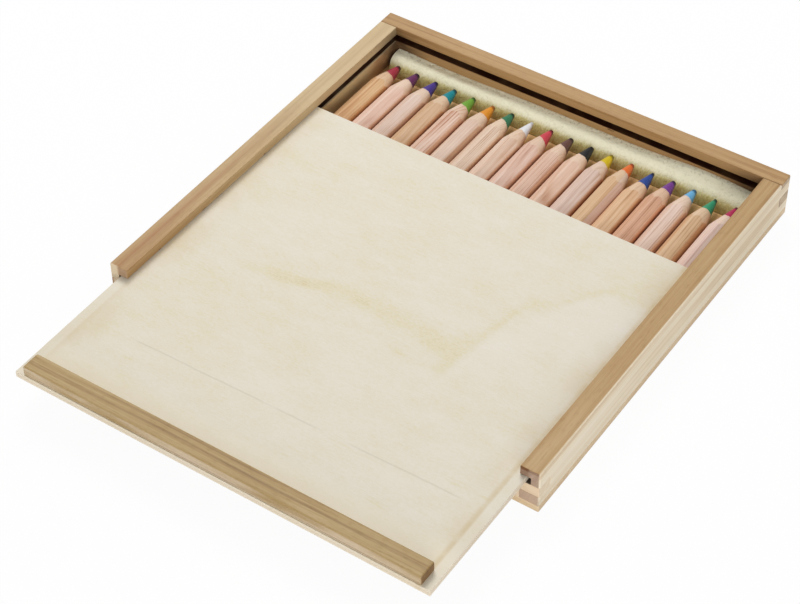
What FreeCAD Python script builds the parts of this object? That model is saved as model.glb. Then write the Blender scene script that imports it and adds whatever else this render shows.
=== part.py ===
import FreeCAD, Part
import math
import os
import re
import Sketcher

# A flat wooden drawer box for eighteen jumbo coloured pencils. The frame is +X across the box,
# +Y from the open front to the closed back, +Z up, with the origin at the middle of the case's
# underside. Four finger-jointed walls stand on a bottom sheet, a thin sheet lid slides in a
# groove that runs round three walls, and it is modelled drawn out part of the way. The box is
# sized from the pencils that it holds.

doc = FreeCAD.newDocument("pencil_drawer_box")

# ---- Driving dimensions, in millimetres and degrees --------------------------------------

SIZES = {
    "pencil_length": 174.0,     # butt to tip
    "pencil_width": 10.0,       # across two opposite rounded edges of the hexagon
    "pencil_edge": 1.5,         # radius of the hexagon's long edges
    "point_angle": 12.5,        # half angle of the sharpened cone
    "point_width": 2.4,         # diameter of the lead's worn, flat end
    "point_round": 0.5,         # radius round the edge of that flat end
    "lead_width": 5.8,          # diameter of the coloured lead
    "pencil_gap": 0.2,          # between one pencil and the next, edge to edge
    "pencil_side_gap": 0.4,     # between the right wall and the last pencil
    "row_slack": 3.6,           # between the left wall and the first pencil
    "butt_gap": 2.0,            # between the front wall and the pencils' butts
    "tip_gap": 10.5,            # between the pencils' tips and the back wall
    "pencil_lift": 0.05,        # between the bottom sheet and each pencil
    "pencil_headroom": 0.15,    # between a pencil that lies on its edge and the lid
    "side_wall": 8.8,           # thickness of the left and right walls
    "end_wall": 8.0,            # thickness of the front and back walls
    "bottom_sheet": 3.4,        # thickness of the sheet under the walls
    "lip_height": 4.4,          # height of the walls above the lid's groove
    "eased_edge": 0.5,          # radius of the sanded outer edges
    "groove_depth": 4.6,        # how far the lid's groove is cut into a wall
    "lid_sheet": 3.0,           # thickness of the lid
    "lid_lift": 0.2,            # between the groove's floor and the lid
    "lid_headroom": 0.2,        # between the lid and the groove's roof
    "lid_left_gap": 0.95,       # between the lid's left edge and its groove
    "lid_right_gap": 1.85,      # between the lid's right edge and its groove
    "lid_end_gap": 1.9,         # between the closed lid and the end of the back wall's groove
    "lid_drawn": 64.5,          # how far the lid is drawn out as modelled
    "lid_corner": 0.3,          # radius of the lid's edges
    "strip_depth": 9.0,         # pull strip, along the lid's travel
    "strip_left_gap": 0.25,     # between the pull strip's left end and the left wall
    "strip_right_gap": 1.15,    # between the pull strip's right end and the right wall
    "strip_round": 1.0,         # radius of the pull strip's edges
    "foam_reach": 1.8,          # how far the foam strip reaches under the pencils' tips
    "foam_over_tips": 1.75,     # top of the foam strip above the pencils' axes
    "foam_round": 10.0,         # radius of the foam strip's front
    "foam_end_gap": 1.5,        # between each end of the foam strip and its side wall
}

# The pencils from the left wall to the right wall, each with the angle by which it is rolled
# about its axis from lying on a flat. A name is the lead's colour.
PENCILS = {
    "crimson": 22.0,
    "plum": 26.0,
    "indigo": 21.0,
    "teal": 25.0,
    "lime": 19.0,
    "amber": 10.0,
    "forest": 24.0,
    "white": 27.0,
    "scarlet": 23.0,
    "brown": 20.0,
    "black": 24.0,
    "yellow": 26.0,
    "orange": -10.0,
    "blue": 22.0,
    "violet": 25.0,
    "sky": 16.0,
    "green": 13.0,
    "magenta": 23.0,
}

# What follows from the driving dimensions. The case fits round the row of pencils and the lid
# passes just over them. Each name may be used in any formula below.
DERIVED = {
    "edge_circle": "pencil_width / 2",
    "half_flats": "pencil_edge + (edge_circle - pencil_edge) * cos(30)",
    "hex_corner": "half_flats / cos(30)",
    "pencil_pitch": "pencil_width + pencil_gap",
    "row_width": "%d * pencil_pitch + pencil_width" % (len(PENCILS) - 1),
    "inner_half_width": "(row_slack + row_width + pencil_side_gap) / 2",
    "inner_half_length": "(butt_gap + pencil_length + tip_gap) / 2",
    "half_width": "inner_half_width + side_wall",
    "half_length": "inner_half_length + end_wall",
    "pencil_axis": "bottom_sheet + pencil_lift + edge_circle",
    "lid_floor": "pencil_axis + edge_circle + pencil_headroom",
    "lid_roof": "lid_floor + lid_sheet",
    "groove_floor": "lid_floor - lid_lift",
    "groove_roof": "lid_roof + lid_headroom",
    "case_height": "groove_roof + lip_height",
    "finger": "(groove_floor - bottom_sheet) / 2",
    "first_finger": "bottom_sheet + finger",
    "third_finger": "bottom_sheet + 3 * finger",
    "groove_back": "inner_half_length + groove_depth",
    "lid_left": "lid_left_gap - inner_half_width - groove_depth",
    "lid_right": "inner_half_width + groove_depth - lid_right_gap",
    "lid_front": "-half_length - lid_drawn",
    "lid_back": "groove_back - lid_end_gap - lid_drawn",
    "strip_front": "lid_front + lid_corner",
    "strip_left": "strip_left_gap - inner_half_width",
    "strip_right": "inner_half_width - strip_right_gap",
    "foam_front": "inner_half_length - tip_gap - foam_reach",
    "foam_top": "pencil_axis + foam_over_tips",
    "foam_rise": "foam_top - bottom_sheet",
    "foam_run": "sqrt(foam_rise * (2 * foam_round - foam_rise))",
    "foam_half_width": "inner_half_width - foam_end_gap",
    "last_pencil": "inner_half_width - pencil_side_gap - edge_circle",
    "pencil_butt": "butt_gap - inner_half_length",
    "lead_radius": "lead_width / 2",
    "cone_apex": "pencil_length + point_width / (2 * tan(point_angle))",
}

SHEET = "Sizes"


def expand(formula):
    """The formula with each derived name written out and each size read from the sheet."""
    def replace(match):
        name = match.group(0)
        if name in DERIVED:
            return "(" + expand(DERIVED[name]) + ")"
        if name in SIZES or name.startswith("roll_"):
            return SHEET + "." + name
        return name
    return re.sub(r"[a-z_]+", replace, str(formula))


def make_sheet():
    """The spreadsheet of driving dimensions, one aliased cell for each."""
    sheet = doc.addObject("Spreadsheet::Sheet", SHEET)
    rolls = {"roll_" + name: angle for name, angle in PENCILS.items()}
    for row, (alias, value) in enumerate({**SIZES, **rolls}.items(), start=1):
        sheet.set("A" + str(row), alias)
        sheet.set("B" + str(row), str(value))
        sheet.setAlias("B" + str(row), alias)
    doc.recompute()
    return sheet


sheet = make_sheet()


def value(formula):
    """The formula's present value as a number."""
    return float(sheet.evalExpression(expand(formula)))


# ---- Helpers for bodies, sketches and features -------------------------------------------

def new_body(node):
    """An empty body for one piece, labelled with the piece's name."""
    body = doc.addObject("PartDesign::Body", node)
    body.Label = node
    return body


def new_sketch(body, plane, offset="0"):
    """A sketch on one of the body's origin planes, moved along the plane's normal."""
    support = [item for item in body.Origin.OriginFeatures if item.Role == plane][0]
    sketch = body.newObject("Sketcher::SketchObject", body.Label + "_sketch")
    sketch.AttachmentSupport = [(support, "")]
    sketch.MapMode = "FlatFace"
    sketch.setExpression("AttachmentOffset.Base.z", expand(offset))
    return sketch


def pin(sketch, geometry, end, across, up):
    """Hold one end point of a sketch line or arc at two formulas from the sketch's origin."""
    for kind, formula in (("DistanceX", across), ("DistanceY", up)):
        constraint = sketch.addConstraint(
            Sketcher.Constraint(kind, -1, 1, geometry, end, value(formula)))
        sketch.setExpression("Constraints[%d]" % constraint, expand(formula))


def draw_lines(sketch, points, closed=True):
    """Straight lines through the points, each pinned; returns the lines' geometry numbers."""
    corners = [FreeCAD.Vector(value(across), value(up), 0) for across, up in points]
    ends = corners[1:] + corners[:1] if closed else corners[1:]
    lines = [sketch.addGeometry(Part.LineSegment(a, b), False) for a, b in zip(corners, ends)]
    for first, second in zip(lines, lines[1:]):
        sketch.addConstraint(Sketcher.Constraint("Coincident", first, 2, second, 1))
    if closed:
        sketch.addConstraint(Sketcher.Constraint("Coincident", lines[-1], 2, lines[0], 1))
    for line, (across, up) in zip(lines, points):
        pin(sketch, line, 1, across, up)
    if not closed:
        pin(sketch, lines[-1], 2, *points[-1])
    return lines


def draw_rectangle(sketch, left, right, low, high):
    """A rectangle between four formulas."""
    draw_lines(sketch, [(left, low), (right, low), (right, high), (left, high)])


def pad(body, sketch, length, backwards=False, both_ways=False):
    """Material added along the sketch's normal."""
    feature = body.newObject("PartDesign::Pad", body.Label + "_pad")
    feature.Profile = sketch
    feature.setExpression("Length", expand(length))
    feature.Reversed = backwards
    feature.Midplane = both_ways
    doc.recompute()
    return feature


def pocket(body, sketch, length, both_ways=False):
    """Material cut away against the sketch's normal; stops if nothing is cut."""
    before = body.Shape.Volume
    feature = body.newObject("PartDesign::Pocket", body.Label + "_pocket")
    feature.Profile = sketch
    feature.setExpression("Length", expand(length))
    feature.Midplane = both_ways
    doc.recompute()
    if body.Shape.Volume >= before:
        raise RuntimeError(body.Label + ": the pocket cuts nothing")
    return feature


def fillet(body, radius, chosen):
    """Rounding on the edges of the body for which chosen(edge) is true."""
    base = body.Tip
    names = ["Edge%d" % (number + 1) for number, edge in enumerate(base.Shape.Edges) if chosen(edge)]
    feature = body.newObject("PartDesign::Fillet", body.Label + "_fillet")
    feature.Base = (base, names)
    feature.setExpression("Radius", expand(radius))
    doc.recompute()
    return feature


def same(first, second):
    """Whether two lengths agree, within the model's tolerance."""
    return abs(first - second) < 1e-4


def on_outer_edge(edge):
    """Whether an edge lies where two outer faces of the case's bounding box meet."""
    ends = [vertex.Point for vertex in edge.Vertexes]
    on_side = all(same(abs(end.x), value("half_width")) for end in ends)
    on_end = all(same(abs(end.y), value("half_length")) for end in ends)
    on_top = all(same(end.z, value("case_height")) for end in ends)
    on_base = all(same(end.z, 0) for end in ends)
    return len(ends) == 2 and on_side + on_end + on_top + on_base >= 2


# ---- Case --------------------------------------------------------------------------------

def make_bottom_panel():
    """The sheet that the walls stand on, as wide and as long as the case."""
    body = new_body("bottom_panel")
    sketch = new_sketch(body, "XY_Plane")
    draw_rectangle(sketch, "-half_width", "half_width", "-half_length", "half_length")
    pad(body, sketch, "bottom_sheet")
    fillet(body, "eased_edge", on_outer_edge)
    return body


def make_side_wall(node, inner_face):
    """A side wall with its fingers and the lid's groove, which is open at the front."""
    body = new_body(node)
    right = value(inner_face) > 0
    profile = new_sketch(body, "YZ_Plane", inner_face)
    draw_lines(profile, [
        ("-half_length", "bottom_sheet"),
        ("half_length", "bottom_sheet"),
        ("half_length", "first_finger"),
        ("inner_half_length", "first_finger"),
        ("inner_half_length", "groove_floor"),
        ("half_length", "groove_floor"),
        ("half_length", "third_finger"),
        ("inner_half_length", "third_finger"),
        ("inner_half_length", "case_height"),
        ("-half_length", "case_height"),
        ("-half_length", "groove_floor"),
        ("-inner_half_length", "groove_floor"),
        ("-inner_half_length", "first_finger"),
        ("-half_length", "first_finger"),
    ])
    pad(body, profile, "side_wall", backwards=not right)
    groove = new_sketch(body, "XZ_Plane", "half_length")
    groove_end = inner_face + (" + groove_depth" if right else " - groove_depth")
    draw_rectangle(groove, inner_face, groove_end, "groove_floor", "groove_roof")
    pocket(body, groove, "half_length + groove_back")
    fillet(body, "eased_edge", on_outer_edge)
    return body


def make_back_wall():
    """The closed end, whose top finger spans both corners, with the groove for the lid."""
    body = new_body("back_wall")
    profile = new_sketch(body, "XZ_Plane", "-inner_half_length")
    draw_lines(profile, [
        ("-inner_half_width", "bottom_sheet"),
        ("inner_half_width", "bottom_sheet"),
        ("inner_half_width", "first_finger"),
        ("half_width", "first_finger"),
        ("half_width", "groove_floor"),
        ("inner_half_width", "groove_floor"),
        ("inner_half_width", "third_finger"),
        ("half_width", "third_finger"),
        ("half_width", "case_height"),
        ("-half_width", "case_height"),
        ("-half_width", "third_finger"),
        ("-inner_half_width", "third_finger"),
        ("-inner_half_width", "groove_floor"),
        ("-half_width", "groove_floor"),
        ("-half_width", "first_finger"),
        ("-inner_half_width", "first_finger"),
    ])
    pad(body, profile, "end_wall", backwards=True)
    groove = new_sketch(body, "YZ_Plane")
    draw_rectangle(groove, "inner_half_length", "groove_back", "groove_floor", "groove_roof")
    pocket(body, groove, "2 * half_width", both_ways=True)
    fillet(body, "eased_edge", on_outer_edge)
    return body


def make_front_wall():
    """The open end, as high as the groove's floor, so that the lid passes over it."""
    body = new_body("front_wall")
    profile = new_sketch(body, "XZ_Plane", "inner_half_length")
    draw_lines(profile, [
        ("-inner_half_width", "bottom_sheet"),
        ("inner_half_width", "bottom_sheet"),
        ("inner_half_width", "first_finger"),
        ("half_width", "first_finger"),
        ("half_width", "groove_floor"),
        ("-half_width", "groove_floor"),
        ("-half_width", "first_finger"),
        ("-inner_half_width", "first_finger"),
    ])
    pad(body, profile, "end_wall")
    fillet(body, "eased_edge", on_outer_edge)
    return body


def make_foam_strip():
    """The foam cushion against the back wall, whose round front slopes up from under the tips."""
    body = new_body("foam_strip")
    section = new_sketch(body, "YZ_Plane")
    lines = draw_lines(section, [
        ("foam_front", "bottom_sheet"),
        ("inner_half_length", "bottom_sheet"),
        ("inner_half_length", "foam_top"),
        ("foam_front + foam_run", "foam_top"),
    ], closed=False)
    centre = FreeCAD.Vector(value("foam_front + foam_run"), value("foam_top - foam_round"), 0)
    circle = Part.Circle(centre, FreeCAD.Vector(0, 0, 1), value("foam_round"))
    toe_angle = math.atan2(value("foam_round - foam_rise"), -value("foam_run"))
    front = section.addGeometry(Part.ArcOfCircle(circle, math.pi / 2, toe_angle), False)
    section.addConstraint(Sketcher.Constraint("Coincident", front, 1, lines[-1], 2))
    section.addConstraint(Sketcher.Constraint("Coincident", front, 2, lines[0], 1))
    radius = section.addConstraint(Sketcher.Constraint("Radius", front, value("foam_round")))
    section.setExpression("Constraints[%d]" % radius, expand("foam_round"))
    pad(body, section, "2 * foam_half_width", both_ways=True)
    return body


# ---- Lid ---------------------------------------------------------------------------------

def make_lid_panel():
    """The sliding lid, a plain thin sheet."""
    body = new_body("lid_panel")
    outline = new_sketch(body, "XY_Plane", "lid_floor")
    draw_rectangle(outline, "lid_left", "lid_right", "lid_front", "lid_back")
    pad(body, outline, "lid_sheet")
    fillet(body, "lid_corner", lambda edge: True)
    return body


def make_lid_pull_strip():
    """The strip glued on the lid's front edge, which fills the front between the walls' lips."""
    body = new_body("lid_pull_strip")
    outline = new_sketch(body, "XY_Plane", "lid_roof")
    draw_rectangle(outline, "strip_left", "strip_right", "strip_front", "strip_front + strip_depth")
    pad(body, outline, "case_height - lid_roof")
    glued_face = value("lid_roof")
    fillet(body, "strip_round", lambda edge: not all(
        same(vertex.Z, glued_face) for vertex in edge.Vertexes))
    return body


# ---- Pencils -----------------------------------------------------------------------------

def place_pencil_piece(body, name):
    """Move a piece made at the origin, along +Y, to its pencil's place, rolled about its axis."""
    steps_from_last = len(PENCILS) - 1 - list(PENCILS).index(name)
    body.Placement = FreeCAD.Placement(
        FreeCAD.Vector(), FreeCAD.Rotation(FreeCAD.Vector(0, 1, 0), PENCILS[name]))
    body.setExpression("Placement.Rotation.Angle", expand("roll_" + name))
    body.setExpression("Placement.Base.x", expand("last_pencil - %d * pencil_pitch" % steps_from_last))
    body.setExpression("Placement.Base.y", expand("pencil_butt"))
    body.setExpression("Placement.Base.z", expand(
        "bottom_sheet + pencil_lift + pencil_edge"
        " + (edge_circle - pencil_edge) * cos(30 - abs(roll_%s))" % name))


def make_barrel(name):
    """A hexagonal wooden barrel with soft edges, a sharpened cone and the lead's bore."""
    body = new_body("pencil_%s_barrel" % name)
    hexagon = new_sketch(body, "XZ_Plane")
    draw_lines(hexagon, [
        ("hex_corner * sin(%d)" % angle, "hex_corner * cos(%d)" % angle) for angle in range(30, 390, 60)])
    pad(body, hexagon, "pencil_length", backwards=True)
    fillet(body, "pencil_edge", lambda edge: not same(edge.Vertexes[0].Y, edge.Vertexes[-1].Y))
    bore = new_sketch(body, "XZ_Plane")
    circle = bore.addGeometry(Part.Circle(
        FreeCAD.Vector(), FreeCAD.Vector(0, 0, 1), value("lead_radius")), False)
    bore.addConstraint(Sketcher.Constraint("Coincident", circle, 3, -1, 1))
    radius = bore.addConstraint(Sketcher.Constraint("Radius", circle, value("lead_radius")))
    bore.setExpression("Constraints[%d]" % radius, expand("lead_radius"))
    pocket(body, bore, "pencil_length")
    waste = new_sketch(body, "YZ_Plane")
    draw_lines(waste, [
        ("cone_apex - hex_corner / tan(point_angle)", "hex_corner"),
        ("cone_apex", "0"),
        ("cone_apex", "hex_corner"),
    ])
    before = body.Shape.Volume
    sharpening = body.newObject("PartDesign::Groove", body.Label + "_sharpening")
    sharpening.Profile = waste
    sharpening.ReferenceAxis = (waste, ["H_Axis"])
    sharpening.Angle = 360
    doc.recompute()
    if body.Shape.Volume >= before:
        raise RuntimeError(body.Label + ": the sharpening cuts nothing")
    place_pencil_piece(body, name)
    return body


def make_lead(name):
    """The coloured lead, which fills the bore and ends in a cone worn flat at its tip."""
    body = new_body("pencil_%s_lead" % name)
    half_section = new_sketch(body, "YZ_Plane")
    draw_lines(half_section, [
        ("pencil_length", "0"),
        ("0", "0"),
        ("0", "lead_radius"),
        ("cone_apex - lead_radius / tan(point_angle)", "lead_radius"),
        ("pencil_length", "point_width / 2"),
    ])
    turned = body.newObject("PartDesign::Revolution", body.Label + "_revolution")
    turned.Profile = half_section
    turned.ReferenceAxis = (half_section, ["H_Axis"])
    turned.Angle = 360
    doc.recompute()
    tip = value("pencil_length")
    fillet(body, "point_round", lambda edge: all(same(vertex.Y, tip) for vertex in edge.Vertexes))
    place_pencil_piece(body, name)
    return body


# ---- Build, check and export -------------------------------------------------------------

def make_all():
    """Every piece of the box, in the order of assembly."""
    pieces = [
        make_bottom_panel(),
        make_side_wall("left_wall", "-inner_half_width"),
        make_side_wall("right_wall", "inner_half_width"),
        make_back_wall(),
        make_front_wall(),
        make_foam_strip(),
        make_lid_panel(),
        make_lid_pull_strip(),
    ]
    for name in PENCILS:
        pieces.append(make_barrel(name))
        pieces.append(make_lead(name))
    doc.recompute()
    return pieces


def check(pieces):
    """Stop unless every feature computed and every piece is one valid solid."""
    for item in doc.Objects:
        if "Invalid" in item.State or "Error" in item.State:
            raise RuntimeError(item.Label + " failed to compute")
    for piece in pieces:
        if piece.Shape.isNull() or not piece.Shape.isValid() or len(piece.Shape.Solids) != 1:
            raise RuntimeError(piece.Label + " is not one valid solid")


pieces = make_all()
check(pieces)
os.makedirs("parts", exist_ok=True)
for piece in pieces:
    piece.Shape.exportStep("parts/" + piece.Label + ".step")
print("wrote", len(pieces), "pieces")
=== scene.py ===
import math

import bmesh
import bpy
from mathutils import Matrix, Vector, noise


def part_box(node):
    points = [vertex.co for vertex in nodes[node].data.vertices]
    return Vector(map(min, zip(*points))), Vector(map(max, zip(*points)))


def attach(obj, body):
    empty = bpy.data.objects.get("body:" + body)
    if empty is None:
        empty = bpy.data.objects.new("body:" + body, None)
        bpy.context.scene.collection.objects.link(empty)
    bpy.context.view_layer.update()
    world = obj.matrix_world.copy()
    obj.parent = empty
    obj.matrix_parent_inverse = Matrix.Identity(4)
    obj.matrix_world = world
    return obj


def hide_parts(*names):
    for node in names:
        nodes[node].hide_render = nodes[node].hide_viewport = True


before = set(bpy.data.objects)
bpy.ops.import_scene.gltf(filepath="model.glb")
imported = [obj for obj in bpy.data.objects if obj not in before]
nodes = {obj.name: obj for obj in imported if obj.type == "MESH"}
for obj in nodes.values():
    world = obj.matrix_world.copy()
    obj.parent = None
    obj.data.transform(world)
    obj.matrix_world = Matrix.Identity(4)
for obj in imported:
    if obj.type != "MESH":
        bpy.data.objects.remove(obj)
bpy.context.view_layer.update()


# ---- Bottom sheet ------------------------------------------------------------------------
# A thin sheet of light wood as large as the whole box. The four walls are glued on top of it
# and its edge is sanded flush with them, so it shows all round as a warm band.

MM = 0.001


def colour(text):
    """A colour written as red, green and blue in hexadecimal, as the shaders want it."""
    parts = [int(text[i:i + 2], 16) / 255 for i in (0, 2, 4)]
    linear = [p / 12.92 if p <= 0.04045 else ((p + 0.055) / 1.055) ** 2.4 for p in parts]
    return (*linear, 1.0)


class Field:
    """A number worked out by a node tree, which takes Python's own operators."""

    def __init__(self, socket):
        self.socket = socket

    def maths(self, operation, *others, clamp=False):
        tree = self.socket.id_data
        node = tree.nodes.new("ShaderNodeMath")
        node.operation = operation
        node.use_clamp = clamp
        for entry, item in zip(node.inputs, (self, *others)):
            if isinstance(item, Field):
                tree.links.new(item.socket, entry)
            else:
                entry.default_value = item
        return Field(node.outputs[0])

    def __add__(self, other):
        return self.maths("ADD", other)

    def __sub__(self, other):
        return self.maths("SUBTRACT", other)

    def __rsub__(self, other):
        return self.maths("MULTIPLY", -1.0).maths("ADD", other)

    def __mul__(self, other):
        return self.maths("MULTIPLY", other)

    def __truediv__(self, other):
        return self.maths("DIVIDE", other)

    def __pow__(self, other):
        return self.maths("POWER", other)

    __radd__ = __add__

    def between(self, low, high):
        """0 below low, 1 above high, and a smooth step from one to the other."""
        tree = self.socket.id_data
        node = tree.nodes.new("ShaderNodeMapRange")
        node.interpolation_type = "SMOOTHSTEP"
        node.inputs["From Min"].default_value = low
        node.inputs["From Max"].default_value = high
        tree.links.new(self.socket, node.inputs["Value"])
        return Field(node.outputs["Result"])


def new_material(name):
    """An empty node material, its tree and its shader."""
    material = bpy.data.materials.new(name)
    material.use_nodes = True
    tree = material.node_tree
    return material, tree, tree.nodes["Principled BSDF"]


def place(tree, shift=(0, 0, 0), turn=(0, 0, 0)):
    """Object coordinates, shifted in metres and then turned in degrees, as a socket."""
    source = tree.nodes.new("ShaderNodeTexCoord")
    moved = tree.nodes.new("ShaderNodeVectorMath")
    moved.operation = "ADD"
    moved.inputs[1].default_value = shift
    turned = tree.nodes.new("ShaderNodeVectorRotate")
    turned.rotation_type = "EULER_XYZ"
    turned.inputs["Rotation"].default_value = [math.radians(a) for a in turn]
    tree.links.new(source.outputs["Object"], moved.inputs[0])
    tree.links.new(moved.outputs[0], turned.inputs["Vector"])
    return turned.outputs[0]


def resized(vector, scale):
    """A vector socket multiplied by three factors."""
    tree = vector.id_data
    node = tree.nodes.new("ShaderNodeVectorMath")
    node.operation = "MULTIPLY"
    node.inputs[1].default_value = scale
    tree.links.new(vector, node.inputs[0])
    return node.outputs[0]


def split(vector):
    """The three parts of a vector socket."""
    tree = vector.id_data
    node = tree.nodes.new("ShaderNodeSeparateXYZ")
    tree.links.new(vector, node.inputs[0])
    return [Field(part) for part in node.outputs]


def grainy(vector, detail=3.0, roughness=0.55, warp=0.0):
    """Soft noise from 0 to 1 over a vector socket whose unit is one grain."""
    tree = vector.id_data
    node = tree.nodes.new("ShaderNodeTexNoise")
    tree.links.new(vector, node.inputs["Vector"])
    node.inputs["Scale"].default_value = 1.0
    node.inputs["Detail"].default_value = detail
    node.inputs["Roughness"].default_value = roughness
    node.inputs["Distortion"].default_value = warp
    return Field(node.outputs[0])


def ramp(factor, stops):
    """A colour socket from a number, through colours at chosen places."""
    tree = factor.socket.id_data
    node = tree.nodes.new("ShaderNodeValToRGB")
    tree.links.new(factor.socket, node.inputs[0])
    elements = node.color_ramp.elements
    while len(elements) < len(stops):
        elements.new(0.5)
    for element, (position, text) in zip(elements, stops):
        element.position = position
        element.color = colour(text)
    return node.outputs[0]


def mixed(factor, first, second, how="MIX"):
    """One colour over another by a number from 0 to 1; each is a socket or a written colour."""
    tree = factor.socket.id_data
    node = tree.nodes.new("ShaderNodeMix")
    node.data_type = "RGBA"
    node.blend_type = how
    tree.links.new(factor.socket, node.inputs[0])
    for entry, item in ((node.inputs[6], first), (node.inputs[7], second)):
        if isinstance(item, str):
            entry.default_value = colour(item)
        else:
            tree.links.new(item, entry)
    return node.outputs[2]


def bump(shader, height, distance):
    """Relief on a shader, from a height of 0 to 1 that stands for a distance in metres."""
    tree = height.socket.id_data
    node = tree.nodes.new("ShaderNodeBump")
    node.inputs["Strength"].default_value = 1.0
    node.inputs["Distance"].default_value = distance
    tree.links.new(height.socket, node.inputs["Height"])
    tree.links.new(node.outputs[0], shader.inputs["Normal"])


def facing(tree, axis):
    """How squarely the surface faces along an axis of the object, from 0 to 1."""
    source = tree.nodes.new("ShaderNodeTexCoord")
    return split(source.outputs["Normal"])["XYZ".index(axis)].maths("ABSOLUTE")


def joined(tree, x, y, z):
    """A vector socket made of three numbers or fields."""
    node = tree.nodes.new("ShaderNodeCombineXYZ")
    for entry, item in zip(node.inputs, (x, y, z)):
        if isinstance(item, Field):
            tree.links.new(item.socket, entry)
        else:
            entry.default_value = item
    return node.outputs[0]


def sawn_wood(name, along, tones, end_tones, ring, heart, seed, tint):
    """Solid wood: growth rings round a distant heart, fine fibres, pores and end grain.

    along is the fibres' axis; ring is the rings' usual spacing and heart the place of the tree's
    heart across the fibres, in millimetres; tones run from early wood to late wood. tint
    changes the colour by place, with real marks and, on some pieces, painted shade and painted
    light: it is given the tree and the colour, and returns a colour.
    """
    material, tree, shader = new_material(name)
    spot = place(tree, turn=(0, 0, 90) if along == "X" else (0, 0, 0))
    across, length, up = split(spot)
    sway = grainy(joined(tree, across * 30, length * 5 + seed, up * 30), detail=2.0)
    side = across + (sway - 0.5) * (7 * MM) + heart[0] * MM
    rise = up + (sway - 0.5) * (5 * MM) + heart[1] * MM
    turns = (side * side + rise * rise).maths("SQRT") / (ring * MM)
    years = grainy(joined(tree, turns, length * 4, seed * 3.1), detail=4.0, roughness=0.7)
    late = years.between(0.42, 0.66)
    streaks = grainy(joined(tree, across * 520, length * 8 + seed, up * 520), detail=4.0,
                     roughness=0.65)
    fibres = grainy(joined(tree, across * 2600, length * 60, up * 2600), detail=3.0, roughness=0.7)
    clouds = grainy(joined(tree, across * 60, length * 14 + seed, up * 60), detail=2.0)
    tone = (0.44 + (late - 0.4) * 0.28 + (streaks - 0.5) * 0.7
            + (fibres - 0.5) * 0.35 + (clouds - 0.5) * 0.45)
    face = ramp(tone, [(0.05, tones[0]), (0.45, tones[1]), (0.95, tones[2])])
    pores = grainy(joined(tree, across * 3400, length * 200, up * 3400), detail=1.0)
    pores = pores.between(0.62, 0.74)
    face = mixed(pores * 0.22, face, tones[2], "MULTIPLY")
    vessels = grainy(resized(spot, (1500, 1500, 1500)), detail=2.0)
    end_tone = 0.5 + (late - 0.5) * 0.45 + (vessels - 0.5) * 0.7
    cut = ramp(end_tone, [(0.0, end_tones[0]), (1.0, end_tones[1])])
    end = facing(tree, along).between(0.6, 0.9)
    face = tint(tree, mixed(end, face, cut))
    tree.links.new(face, shader.inputs["Base Color"])
    rough = 0.52 + (fibres - 0.5) * 0.25 + end * 0.2
    tree.links.new(rough.socket, shader.inputs["Roughness"])
    shader.inputs["Specular IOR Level"].default_value = 0.3
    bump(shader, fibres * 0.6 + streaks * 0.3 - pores * 0.5, 0.06 * MM)
    return material


def plain_mesh(piece, name):
    """A piece's finished shape, with its modifiers applied, as a new object at the origin."""
    bpy.context.view_layer.update()
    depsgraph = bpy.context.evaluated_depsgraph_get()
    mesh = bpy.data.meshes.new_from_object(piece.evaluated_get(depsgraph))
    bpy.data.objects.remove(piece)
    finished = bpy.data.objects.new(name, mesh)
    bpy.context.scene.collection.objects.link(finished)
    return finished


def sanded(name, node, material, edge=0.25, steps=3):
    """A copy of a construction piece, with each sharp edge rounded as sandpaper leaves it."""
    shell = bmesh.new()
    shell.from_mesh(nodes[node].data)
    bmesh.ops.remove_doubles(shell, verts=shell.verts, dist=0.005 * MM)
    nearly_flat = math.radians(1)
    bmesh.ops.dissolve_limit(shell, angle_limit=nearly_flat, verts=shell.verts, edges=shell.edges)
    mesh = bpy.data.meshes.new(name)
    shell.to_mesh(mesh)
    shell.free()
    rough = bpy.data.objects.new(name + "_rough", mesh)
    bpy.context.scene.collection.objects.link(rough)
    for polygon in mesh.polygons:
        polygon.use_smooth = True
    rounding = rough.modifiers.new("rounding", "BEVEL")
    rounding.width = edge * MM
    rounding.segments = steps
    rounding.limit_method = "ANGLE"
    rounding.angle_limit = math.radians(50)
    flattening = rough.modifiers.new("flattening", "WEIGHTED_NORMAL")
    flattening.keep_sharp = True
    piece = plain_mesh(rough, name)
    piece.data.materials.clear()
    piece.data.materials.append(material)
    return piece


def stands_for(piece, node, body):
    """Fix a finished piece to its body, in place of its construction piece."""
    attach(piece, body)
    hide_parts(node)


def warm_floor(tree, face):
    """The sheet's top inside the box is darker and yellower, and its lowest edge has a thin brown line.
    """
    height = split(place(tree))[2]
    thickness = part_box("bottom_panel")[1].z
    inside = height.between(thickness - 0.2 * MM, thickness - 0.02 * MM)
    face = mixed(inside, face, "E6CEA2", "MULTIPLY")
    foot = 1.0 - height.between(0.3 * MM, 0.9 * MM)
    return mixed(foot * height.between(0.02 * MM, 0.08 * MM) * 0.3, face, "B48C5C")


bottom_wood = sawn_wood("bottom_wood", "X", ("F8E4C6", "F0D6B0", "D0AC7C"), ("D8BC98", "EEDCBE"),
                        ring=3.2, heart=(30, 70), seed=3.0, tint=warm_floor)
bottom_sheet = sanded("bottom_sheet", "bottom_panel", bottom_wood, edge=0.2)
stands_for(bottom_sheet, "bottom_panel", "case")


# ---- Walls -------------------------------------------------------------------------------
# Four bars of straight-grained wood, finger-jointed at the corners: three brown and oiled, and
# a paler, lower one in front. The groove that the lid slides in is dark with saw burn and painted
# shade, and the right outer face is pale, partly the plank's sapwood and partly painted light.

CASE_FRONT, CASE_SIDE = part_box("right_wall")[0].y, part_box("right_wall")[1].x
CASE_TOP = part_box("right_wall")[1].z
INNER_FACE = {"X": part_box("right_wall")[0].x, "Y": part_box("back_wall")[0].y}
GROOVE_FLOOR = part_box("front_wall")[1].z
GROOVE_ROOF = GROOVE_FLOOR + 3.4 * MM
GROOVE_DEPTH = 4.6 * MM


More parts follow.
